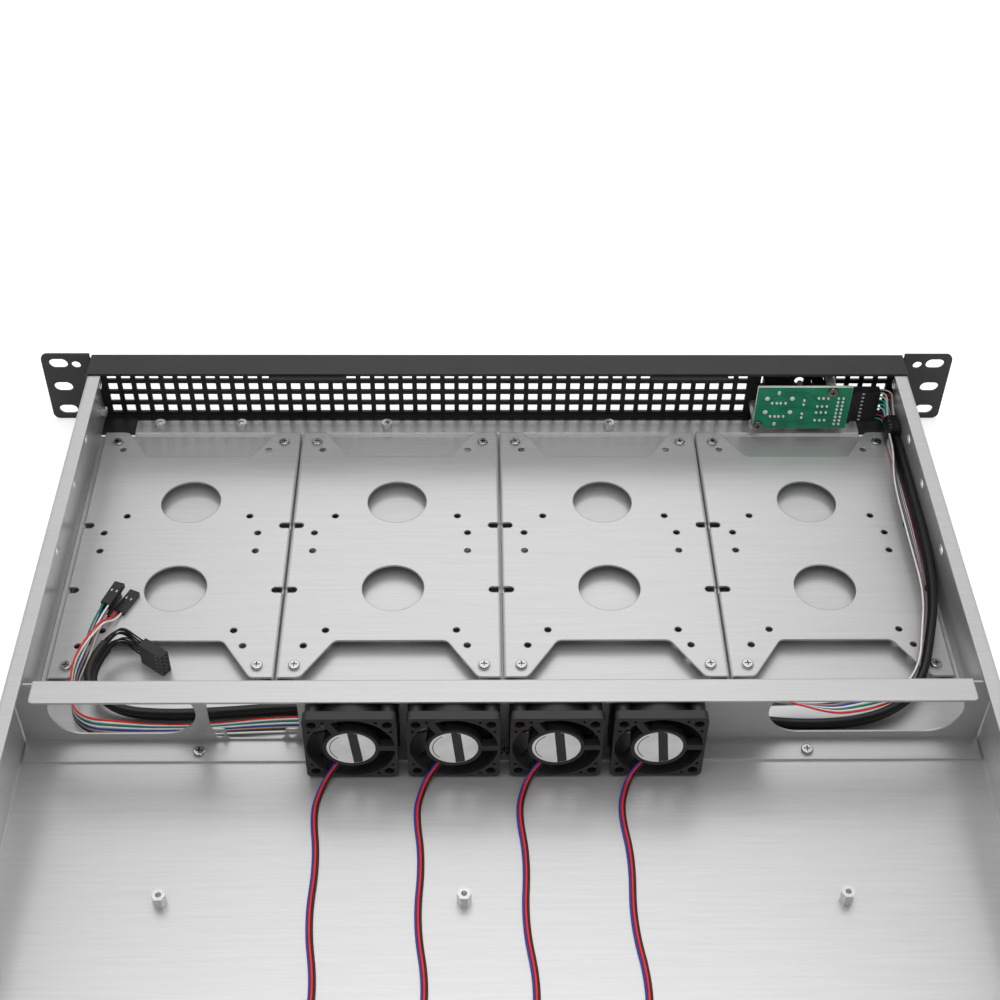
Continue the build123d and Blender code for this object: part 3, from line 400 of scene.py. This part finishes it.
# Routes in mm: across, behind the front panel, up. They repeat the points of the CAD's cords.
usb_lower_route = [
    (-210.6, 31.0, 9.2),
    (-210.6, 70.0, 9.2),
    (-210.3, 112.0, 9.2),
    (-206.9, 146.0, 9.2),
    (-199.6, 171.0, 9.2),
    (-193.5, 190.0, 9.1),
    (-184.0, 203.2, 5.4),
    (-166.0, 211.6, 3.1),
    (-140.0, 215.2, 3.1),
    (-112.0, 212.6, 3.1),
    (-84.0, 206.8, 3.1),
    (-36.0, 206.5, 3.1),
    (14.0, 205.6, 3.1),
    (58.0, 205.2, 3.1),
    (94.0, 203.9, 3.1),
    (124.0, 206.6, 3.1),
    (152.0, 208.2, 3.1),
    (173.0, 206.4, 4.2),
    (185.5, 198.0, 8.2),
    (187.8, 186.0, 10.6),
    (182.9, 174.4, 10.4),
]
usb_upper_route = [
    (-210.6, 31.0, 13.4),
    (-210.6, 70.0, 13.4),
    (-210.3, 112.0, 13.4),
    (-206.9, 146.0, 13.4),
    (-199.6, 171.0, 13.4),
    (-193.4, 190.4, 13.2),
    (-183.6, 204.4, 9.6),
    (-166.0, 213.0, 7.2),
    (-140.0, 216.6, 7.2),
    (-112.0, 214.0, 7.2),
    (-84.0, 208.2, 7.2),
    (-36.0, 207.9, 7.2),
    (14.0, 207.0, 7.2),
    (58.0, 206.6, 7.2),
    (94.0, 205.3, 7.2),
    (124.0, 208.0, 7.2),
    (152.0, 209.6, 7.2),
    (174.0, 207.9, 8.4),
    (187.0, 199.0, 12.5),
    (188.8, 186.0, 14.9),
    (183.4, 174.2, 14.7),
]
# The ribbon: where its first wire lies, and the step from each wire to the next.
ribbon_route = [
    ((-206.6, 31.0, 8.4), (0.05, 0.0, 1.08)),
    ((-206.6, 44.0, 8.4), (0.05, 0.0, 1.08)),
    ((-206.8, 66.0, 10.8), (0.74, 0.0, 0.72)),
    ((-206.6, 110.0, 10.8), (0.74, 0.0, 0.72)),
    ((-203.9, 145.0, 9.0), (0.33, 0.0, 1.00)),
    ((-196.4, 170.0, 8.0), (0.12, 0.0, 1.06)),
    ((-190.4, 188.0, 7.8), (-0.05, 0.05, 1.10)),
    ((-181.5, 201.0, 6.6), (0.05, 0.10, 1.08)),
    ((-170.0, 207.4, 8.0), (0.0, -0.62, 0.90)),
    ((-159.0, 211.0, 9.0), (0.0, -1.00, 0.36)),
    ((-148.0, 212.6, 9.6), (0.0, -1.03, -0.20)),
    ((-132.0, 209.5, 12.6), (0.0, -0.68, -0.87)),
    ((-116.0, 206.0, 14.8), (0.0, -0.04, -1.10)),
    ((-98.0, 203.0, 15.4), (0.0, 0.65, -0.89)),
    ((-78.0, 202.6, 12.4), (0.0, 1.06, -0.28)),
    ((-52.0, 207.0, 11.2), (0.0, 1.10, -0.20)),
    ((-26.0, 211.2, 8.2), (0.0, 0.86, -0.65)),
    ((6.0, 209.8, 3.2), (0.0, 1.03, -0.10)),
    ((44.0, 208.9, 1.8), (0.0, 1.06, 0.24)),
    ((80.0, 207.6, 2.3), (0.0, 1.10, -0.04)),
    ((104.0, 208.0, 2.7), (0.0, 1.10, -0.10)),
    ((132.0, 211.4, 1.8), (0.0, 1.00, 0.28)),
    ((157.0, 211.5, 1.9), (0.0, 1.00, 0.12)),
    ((174.0, 212.0, 5.4), (0.03, 0.92, -0.50)),
    ((186.0, 213.6, 9.2), (0.15, 0.50, -1.00)),
    ((194.0, 207.4, 10.2), (0.20, -0.10, -1.07)),
    ((196.0, 190.0, 16.0), (-0.30, 0.05, -1.14)),
    ((194.0, 177.0, 15.9), (-0.45, 0.0, -1.05)),
]
# The first two wires cross over the others on the way to their plug.
crossing_route = [
    ((190.0, 167.0, 15.6), (-1.40, 0.0, -0.50)),
    ((187.4, 160.6, 14.9), (-1.50, 0.4, -0.30)),
]
wire_names = ("red", "white_1", "green", "white_2", "blue", "tan", "black", "white_3")
# The two-way plugs: each one's mouth, its heading, and how far its wires run straight.
front_plug_places = [
    ((181.6, 149.5, 8.42), 66.0, 5.0),
    ((187.0, 149.4, 13.70), 71.0, 9.0),
    ((187.6, 150.2, 11.06), 76.0, 9.0),
    ((188.4, 151.0, 8.42), 74.0, 9.0),
]
# A fan lead, across from its fan's middle.
lead_route = [
    (6.5, 239.35, 10.84),
    (10.2, 240.0, 4.5),
    (13.6, 246.5, 2.2),
    (16.5, 259.0, 2.2),
    (13.0, 283.0, 2.2),
    (15.0, 313.0, 2.2),
    (10.0, 342.0, 2.2),
    (13.0, 366.0, 2.2),
    (13.0, 388.0, 2.2),
]


def sideways(points, offset):
    """A ribbon's route for the wire that is this many steps from the first."""
    return [tuple(low + offset * rise for low, rise in zip(start, step)) for start, step in points]


def in_frame(points):
    return [at(*point) for point in points]


def plug_directions(heading):
    """Where a two-way plug points, and the direction from one of its contacts to the other."""
    turn = radians(heading)
    return Vector((-cos(turn), -sin(turn), 0)), Vector((sin(turn), -cos(turn), 0))


def plug_mouths(place, index):
    """A wire's last two points, at and in its two-way plug."""
    mouth, heading, lead_in = place
    ahead, beside = plug_directions(heading)
    side = 0.5 if index % 2 == 0 else -0.5
    end = Vector(mouth) + beside * PIN_PITCH * side
    return [tuple(end - ahead * lead_in), tuple(end)]


def usb_plug_directions():
    """Where the ten-way plug points, and the direction across its two rows."""
    turn = USB_PLUG_HEADING
    return Vector((cos(turn), sin(turn), 0)), Vector((-sin(turn), cos(turn), 0))


# Where the fine wires turn towards the plug, each cable's lowest one, and the step up to the next.
USB_BEND = (176.0, 167.0)
USB_BEND_LEVELS = (8.2, 13.5)
USB_BEND_STEP = 1.3


def usb_plug_wire_routes():
    """Four fine wires from each cable's end to its row of the ten-way plug."""
    into, across = usb_plug_directions()
    routes = []
    for cable, route in enumerate((usb_lower_route, usb_upper_route)):
        end = Vector(route[-1])
        ahead = (end - Vector(route[-2])).normalized()
        beside = Vector((ahead.y, -ahead.x, 0)).normalized()
        inside = (beside - across).normalized()
        side = cable - 0.5
        for index in range(4):
            shift = beside * (0.75 if index % 2 else -0.75)
            shift += Vector((0, 0, 0.62 if index > 1 else -0.62))
            bend = Vector((*USB_BEND, USB_BEND_LEVELS[cable] + USB_BEND_STEP * index))
            level = Vector((0, 0, (index - 1) * PIN_PITCH))
            entry = USB_PLUG_MOUTH + across * PIN_PITCH * side + level
            wire = [
                end + shift + ahead * 0.05,
                end + shift + ahead * 4.6,
                bend - inside * 2.0 * side,
                entry - into * 4.0,
                entry,
            ]
            routes.append(wire)
    return routes


for number, route in enumerate(usb_plug_wire_routes(), 1):
    name = f"usb_plug_wire_{number}"
    strand(name, in_frame(route), 0.84 * MM, cable_skin, "usb_plug_wires")

usb_cords = (
    ("usb_cable_lower", usb_lower_route, 0.573),
    ("usb_cable_upper", usb_upper_route, 0.577),
)
for number, (name, route, length) in enumerate(usb_cords):
    piece = strand(f"{name}_cord", in_frame(route), 4.0 * MM, cable_skin, name, smooth=12)

for index, name in enumerate(wire_names):
    route = sideways(ribbon_route, index)
    if index < 2:
        route += sideways(crossing_route, index)
    route += plug_mouths(front_plug_places[index // 2], index)
    material = wire_looks[name.split("_")[0]]
    piece = strand(f"wire_{name}_cord", in_frame(route), 0.94 * MM, material, f"wire_{name}")

# Each fan lead's three wires: colour, and how far aside and up from the lead's route.
LEAD_WIRES = (("blue", 1.0, -0.60), ("red", 0.0, -0.14), ("black", -1.0, -0.60))
for fan, middle in enumerate(FAN_XS, 1):
    for color, aside, up in LEAD_WIRES:
        route = [(middle + x + aside, distance, z + up) for x, distance, z in lead_route]
        name, look = f"fan_lead_{fan}", wire_looks[color]
        piece = strand(f"{name}_{color}", in_frame(route), 1.1 * MM, look, name)

# The sixteen short wires behind the header plug: their colours, from the lowest level up.
ROW_COLORS = (
    ("red", "teal", "blue", "white", "black", "teal", "red", "white"),
    ("teal", "red", "blue", "white", "teal", "teal", "white", "white"),
)
HEADER_PLUG_END = -202.4
HEADER_PLUG_MIDDLE = 11.6
ROW_STRAIGHTS = (6.7, 3.5)
ROW_FARS = (-210.3, -207.2)
WRAP_FRONT = 20.0
LOWEST_WIRE = 8.7
WIRE_STEP = 1.45


def pin_level(level):
    return HEADER_MIDDLE + (level - (HEADER_ROWS - 1) / 2) * PIN_PITCH


for row, (straight, far) in enumerate(zip(ROW_STRAIGHTS, ROW_FARS)):
    distance = HEADER_PLUG_MIDDLE + (row - 0.5) * PIN_PITCH
    for level in range(HEADER_ROWS):
        high = pin_level(level)
        low = LOWEST_WIRE + WIRE_STEP * level
        route = [
            (HEADER_PLUG_END, distance, high),
            (HEADER_PLUG_END - straight, distance, high),
            (far, distance + 3.2, 0.3 * high + 0.7 * low),
            (far, WRAP_FRONT - 1.0, low),
            (far, WRAP_FRONT, low),
        ]
        look = wire_looks[ROW_COLORS[row][level]]
        name = f"header_wire_{row + 1}_{level + 1}"
        strand(name, in_frame(route), 0.8 * MM, look, "header_wires")

WRAP_RINGS = 26
WRAP_SIDES = 44
WRAP_LENGTH = 11.0
WRAP_MIDDLE = (-208.5, 13.8)
WRAP_HALF = (3.95, 6.45)


def squared(part):
    """A sine or cosine pushed outwards, which makes a circle into a rounded oblong."""
    return abs(part) ** 0.55 * (1 if part > 0 else -1)


def build_wrap(shape):
    """A short taped sleeve: a rounded oblong, drawn in at both ends, with soft creases."""
    rings = []
    for ring in range(WRAP_RINGS + 1):
        along = ring / WRAP_RINGS
        from_end = min(along, 1 - along)
        drawn_in = 1 - 0.16 * max(0.0, 1 - from_end / 0.10) ** 2
        corners = []
        for side in range(WRAP_SIDES):
            angle = 2 * pi * side / WRAP_SIDES
            crease = 0.022 * sin(19 * along + 2.2 * sin(angle) + 1.3 * cos(2 * angle))
            crease += 0.014 * sin(43 * along - 3 * angle)
            reach = drawn_in * (0.975 + crease)
            x = WRAP_MIDDLE[0] + WRAP_HALF[0] * reach * squared(cos(angle))
            z = WRAP_MIDDLE[1] + WRAP_HALF[1] * reach * squared(sin(angle))
            corners.append(shape.verts.new(at(x, WRAP_FRONT + WRAP_LENGTH * along, z)))
        rings.append(corners)
    skin_rings(shape, rings)


sleeve = mesh_piece("harness_wrap_sleeve", build_wrap, tape)
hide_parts("harness_wrap")

# Solder pads on the back of the input board: middles across and up, in mm.
LUG_PADS = [(x, z) for x in (-141.8, -155.0) for z in (19.4, 28.8)]
PORT_PADS = [(x, z) for x in (-144.7, -147.2, -149.2, -151.8) for z in (16.5, 25.7)]
LIGHT_PADS = [(-161.5, z) for z in (15.7, 18.4, 24.8, 27.6)]
SWITCH_PADS = [(x, z) for x in (-169.0, -171.5, -174.1) for z in (13.8, 19.3, 23.5, 29.1)]
HEADER_PADS = [(x, pin_level(step) + 0.05) for x in (-179.6, -182.1) for step in range(HEADER_ROWS)]
PIN_PADS = PORT_PADS + LIGHT_PADS + SWITCH_PADS + HEADER_PADS
OVAL_PADS = [(-147.6, level + shift) for level in (11.1, 32.6) for shift in (-0.45, 0.45)]


def build_pads(shape):
    for x, z in LUG_PADS:
        add_pad(shape, at(x, BOARD_BACK, z), 1.3 * MM, 0.35 * MM, dome=0.35 * MM)
    for x, z in PIN_PADS:
        add_pad(shape, at(x, BOARD_BACK, z), 0.72 * MM, 0.3 * MM, dome=0.55 * MM, sides=16)
    for x, z in OVAL_PADS:
        add_pad(shape, at(x, BOARD_BACK, z), 0.85 * MM, 0.25 * MM, dome=0.2 * MM, sides=16)


def build_pin_tails(shape):
    for x, z in PIN_PADS:
        add_pad(shape, at(x, BOARD_BACK + 0.6, z), 0.3 * MM, 0.5 * MM, sides=10)


mesh_piece("board_pads", build_pads, solder)
mesh_piece("board_pin_tails", build_pin_tails, solder)

# Thin dark tracks under the lacquer: chains of points across and up, in mm.
TRACKS = [
    [(-150.0, 33.0), (-160.0, 33.0), (-163.5, 32.6), (-169.0, 27.0), (-177.0, 26.6)],
    [(-144.0, 24.0), (-144.6, 29.6), (-147.0, 31.2), (-160.0, 31.2), (-166.0, 26.2)],
    [(-149.0, 15.0), (-149.6, 21.2), (-152.0, 22.6), (-176.0, 22.0)],
    [(-144.0, 15.0), (-147.0, 12.8), (-160.5, 12.8), (-166.0, 16.6), (-178.0, 17.2)],
    [(-149.0, 11.0), (-162.0, 11.0), (-166.5, 12.2), (-177.0, 13.0)],
]
TRACK_HALF = 0.14
TRACK_LIFT = 0.02


def build_tracks(shape):
    lift = Vector((0, TRACK_LIFT * MM, 0))
    for chain in TRACKS:
        for (x0, z0), (x1, z1) in zip(chain, chain[1:]):
            run = Vector((x1 - x0, 0, z1 - z0))
            edge = Vector((-run.z, 0, run.x)).normalized() * TRACK_HALF * MM
            low, high = at(x0, BOARD_BACK, z0) + lift, at(x1, BOARD_BACK, z1) + lift
            corners = (low - edge, low + edge, high + edge, high - edge)
            shape.faces.new([shape.verts.new(corner) for corner in corners])


track_look = Shader("board_track_look", (0.006, 0.085, 0.045), roughness=0.34)
track_look.bump(track_look.noise(900.0, detail=1.0), 0.00002, 0.2)
mesh_piece("board_tracks", build_tracks, track_look.material)


# The board's right end, left end, bottom and top, and its thickness.
BOARD_EDGES = (-186.1, -136.3, 7.9, 36.4)
BOARD_THICK = 1.6
EDGE_SKIN = 0.06


def build_board_core(shape):
    """The board's pale cut edges: a thin skin on its top, bottom and two ends."""
    right, left, bottom, top = BOARD_EDGES
    near, far = BOARD_BACK - BOARD_THICK, BOARD_BACK
    for low_x, high_x, low_z, high_z in (
        (right, left, top, top + EDGE_SKIN),
        (right, left, bottom - EDGE_SKIN, bottom),
        (left, left + EDGE_SKIN, bottom, top),
        (right - EDGE_SKIN, right, bottom, top),
    ):
        add_block(shape, at(low_x, near, low_z), at(high_x, far, high_z))


mesh_piece("board_core", build_board_core, board_core)


def build_header_contacts(shape):
    """The contacts that show in the windows of the header plug's back."""
    for step in range(HEADER_ROWS):
        z = pin_level(step)
        add_block(shape, at(-194.2, 13.65, z - 0.5), at(-192.8, 14.12, z + 0.5), 0.05 * MM)


mesh_piece("header_contacts", build_header_contacts, solder)


def build_front_contacts(shape):
    """The contacts in the windows on top of the two-way plugs."""
    up = Vector((0, 0, 0.92))
    for mouth, heading, _ in front_plug_places:
        ahead, beside = plug_directions(heading)
        for side in (-0.5, 0.5):
            spot = Vector(mouth) + ahead * PLUG_LENGTH * 0.62 + beside * PIN_PITCH * side + up
            add_turned_block(shape, spot, radians(heading), (1.5, 0.75, 0.3))


mesh_piece("front_plug_contacts", build_front_contacts, solder)


def build_usb_contacts(shape):
    """The contacts in the windows on the near side of the ten-way plug."""
    into, across = usb_plug_directions()
    middle = USB_PLUG_MOUTH + into * PLUG_LENGTH * 0.72 - across * 2.2
    for step in range(-2, 3):
        spot = middle + Vector((0, 0, step * PIN_PITCH))
        add_turned_block(shape, spot, USB_PLUG_HEADING, (1.5, 0.3, 0.75))


mesh_piece("usb_plug_contacts", build_usb_contacts, solder)

# The dark band and the thin arc on each fan's white label, plain, without any print.
LABEL_RADIUS = 10.4
LABEL_LEVEL = 240.33
BAND_STEPS = 32
BAND_MIDDLE = -1.9
BAND_LEAN = 0.096
BAND_HALF = 2.05
ARC_STEPS = 28
ARC_START = -48.0
ARC_SWEEP = 106.0
ARC_RADII = (8.9, 9.25)


def build_label_band(middle):
    """A builder for the band and arc of the fan whose middle is here."""

    def pair(shape, spots):
        return [shape.verts.new(at(middle + x, LABEL_LEVEL, FAN_MIDDLE + z)) for x, z in spots]

    def build(shape):
        band = []
        for index in range(BAND_STEPS + 1):
            z = LABEL_RADIUS * (2 * index / BAND_STEPS - 1) * 0.995
            reach = (LABEL_RADIUS**2 - z**2) ** 0.5
            center = BAND_MIDDLE + BAND_LEAN * z
            left, right = max(center - BAND_HALF, -reach), min(center + BAND_HALF, reach)
            if right - left > 0.05:
                band.append(pair(shape, [(left, z), (right, z)]))
        skin_strip(shape, band)
        arc = []
        for index in range(ARC_STEPS + 1):
            angle = radians(ARC_START + ARC_SWEEP * index / ARC_STEPS)
            arc.append(pair(shape, [(size * cos(angle), size * sin(angle)) for size in ARC_RADII]))
        skin_strip(shape, arc)

    return build


for fan, middle in enumerate(FAN_XS, 1):
    mesh_piece(f"fan_label_band_{fan}", build_label_band(middle), label_ink)


def seen_directly(tree):
    """1 for rays from the camera, a mirror or glass, 0 for the light that falls on matt surfaces."""
    rays = tree.nodes.new("ShaderNodeLightPath")
    shiny = tree.nodes.new("ShaderNodeMath")
    shiny.operation = "MAXIMUM"
    tree.links.new(rays.outputs["Is Glossy Ray"], shiny.inputs[0])
    tree.links.new(rays.outputs["Is Transmission Ray"], shiny.inputs[1])
    return rays.outputs["Is Camera Ray"], shiny.outputs["Value"]


# How much brighter the camera sees the floor, and half the floor's width in metres.
FLOOR_LIFT = 0.43
FLOOR_REACH = 6.0


def shade_floor():
    """White paper that the camera sees a little brighter, so that only shadows show on it."""
    shader = Shader("floor_look", (0.90, 0.90, 0.90), roughness=0.9)
    shader.vary_color(shader.noise(3.0, detail=1.0), 0.004)
    camera_ray, _ = seen_directly(shader.tree)
    lift = shader.tree.nodes.new("ShaderNodeMath")
    lift.operation = "MULTIPLY"
    lift.inputs[1].default_value = FLOOR_LIFT
    shader.link(camera_ray, lift.inputs[0])
    shader.set(Emission_Color=(1.0, 1.0, 1.0, 1.0))
    shader.link(lift.outputs["Value"], shader.surface.inputs["Emission Strength"])
    return shader.material


def add_floor():
    """A sheet of paper a hair under the case."""
    mesh = bpy.data.meshes.new("floor")
    shape = bmesh.new()
    bmesh.ops.create_grid(shape, x_segments=1, y_segments=1, size=FLOOR_REACH)
    shape.to_mesh(mesh)
    shape.free()
    floor = bpy.data.objects.new("floor", mesh)
    floor.location.z = -0.0002
    bpy.context.collection.objects.link(floor)
    mesh.materials.append(shade_floor())


# Brightness of the room on matt surfaces, and of what metal mirrors from ahead and from behind.
ROOM_LIGHT = 0.64
MIRROR_AHEAD = 0.56
MIRROR_BEHIND = 0.06
# Between these directions, as parts of Y, the mirrored room goes from dim to bright.
MIRROR_TURN = (0.55, -0.65)


def add_softbox(name, place, target, size, power):
    """A soft lamp that faces its target, with its size in metres and its power in watts."""
    light = bpy.data.lights.new(name, "AREA")
    light.shape = "RECTANGLE"
    light.size, light.size_y = size
    light.energy = power
    lamp = bpy.data.objects.new(name, light)
    lamp.location = place
    lamp.rotation_euler = (Vector(target) - Vector(place)).to_track_quat("-Z", "Y").to_euler()
    bpy.context.collection.objects.link(lamp)


def add_world():
    """A white backdrop in front of and over the case, and a dim room on the camera's side."""
    world = bpy.data.worlds.new("studio")
    bpy.context.scene.world = world
    world.use_nodes = True
    tree = world.node_tree
    tree.nodes.clear()
    camera_ray, shiny_ray = seen_directly(tree)

    # What metal mirrors: bright ahead of the case, dim on the camera's side.
    direction = tree.nodes.new("ShaderNodeTexCoord")
    parts = tree.nodes.new("ShaderNodeSeparateXYZ")
    tree.links.new(direction.outputs["Generated"], parts.inputs["Vector"])
    ahead = tree.nodes.new("ShaderNodeMapRange")
    ahead.inputs["From Min"].default_value, ahead.inputs["From Max"].default_value = MIRROR_TURN
    ahead.inputs["To Min"].default_value = MIRROR_BEHIND
    ahead.inputs["To Max"].default_value = MIRROR_AHEAD
    ahead.interpolation_type = "SMOOTHSTEP"
    tree.links.new(parts.outputs["Y"], ahead.inputs["Value"])

    room = tree.nodes.new("ShaderNodeBackground")
    room.inputs["Strength"].default_value = ROOM_LIGHT
    mirrored = tree.nodes.new("ShaderNodeBackground")
    tree.links.new(ahead.outputs["Result"], mirrored.inputs["Strength"])
    backdrop = tree.nodes.new("ShaderNodeBackground")
    backdrop.inputs["Strength"].default_value = 1.0
    for node in (room, mirrored, backdrop):
        node.inputs["Color"].default_value = (1.0, 1.0, 1.0, 1.0)

    surroundings = tree.nodes.new("ShaderNodeMixShader")
    tree.links.new(shiny_ray, surroundings.inputs["Fac"])
    tree.links.new(room.outputs["Background"], surroundings.inputs[1])
    tree.links.new(mirrored.outputs["Background"], surroundings.inputs[2])
    whole = tree.nodes.new("ShaderNodeMixShader")
    tree.links.new(camera_ray, whole.inputs["Fac"])
    tree.links.new(surroundings.outputs["Shader"], whole.inputs[1])
    tree.links.new(backdrop.outputs["Background"], whole.inputs[2])
    output = tree.nodes.new("ShaderNodeOutputWorld")
    tree.links.new(whole.outputs["Shader"], output.inputs["Surface"])


# The camera that fits the photo: its place in metres, its directions, and its lens in mm.
CAMERA_PLACE = (0.01378, 0.38739, 0.57767)
CAMERA_RIGHT = (-0.99986, 0.01288, 0.01107)
CAMERA_FORWARD = (-0.01695, -0.71817, -0.69566)
CAMERA_LENS = 57.71


def add_camera():
    """The photo's view: from above and behind, down onto the drive plates."""
    camera = bpy.data.cameras.new("camera")
    camera.sensor_width = 36.0
    camera.lens = CAMERA_LENS
    camera.clip_start = 0.01
    holder = bpy.data.objects.new("camera", camera)
    right = Vector(CAMERA_RIGHT).normalized()
    forward = Vector(CAMERA_FORWARD).normalized()
    up = right.cross(forward).normalized()
    turn = Matrix((right, up, -forward)).transposed().to_4x4()
    holder.matrix_world = Matrix.Translation(CAMERA_PLACE) @ turn
    bpy.context.collection.objects.link(holder)
    bpy.context.scene.camera = holder


add_floor()
add_softbox("key", (0.0, -1.05, 0.98), (0.0, -0.15, 0.0), (0.85, 0.8), 1.25)
add_softbox("top", (0.0, -0.35, 1.6), (0.0, -0.1, 0.0), (1.4, 0.9), 5.4)
add_softbox("strip", (0.0, 0.27, 1.3), (0.0, -0.25, 0.0), (1.6, 0.14), 2.4)
add_world()
add_camera()
bpy.context.scene.view_settings.view_transform = "Standard"
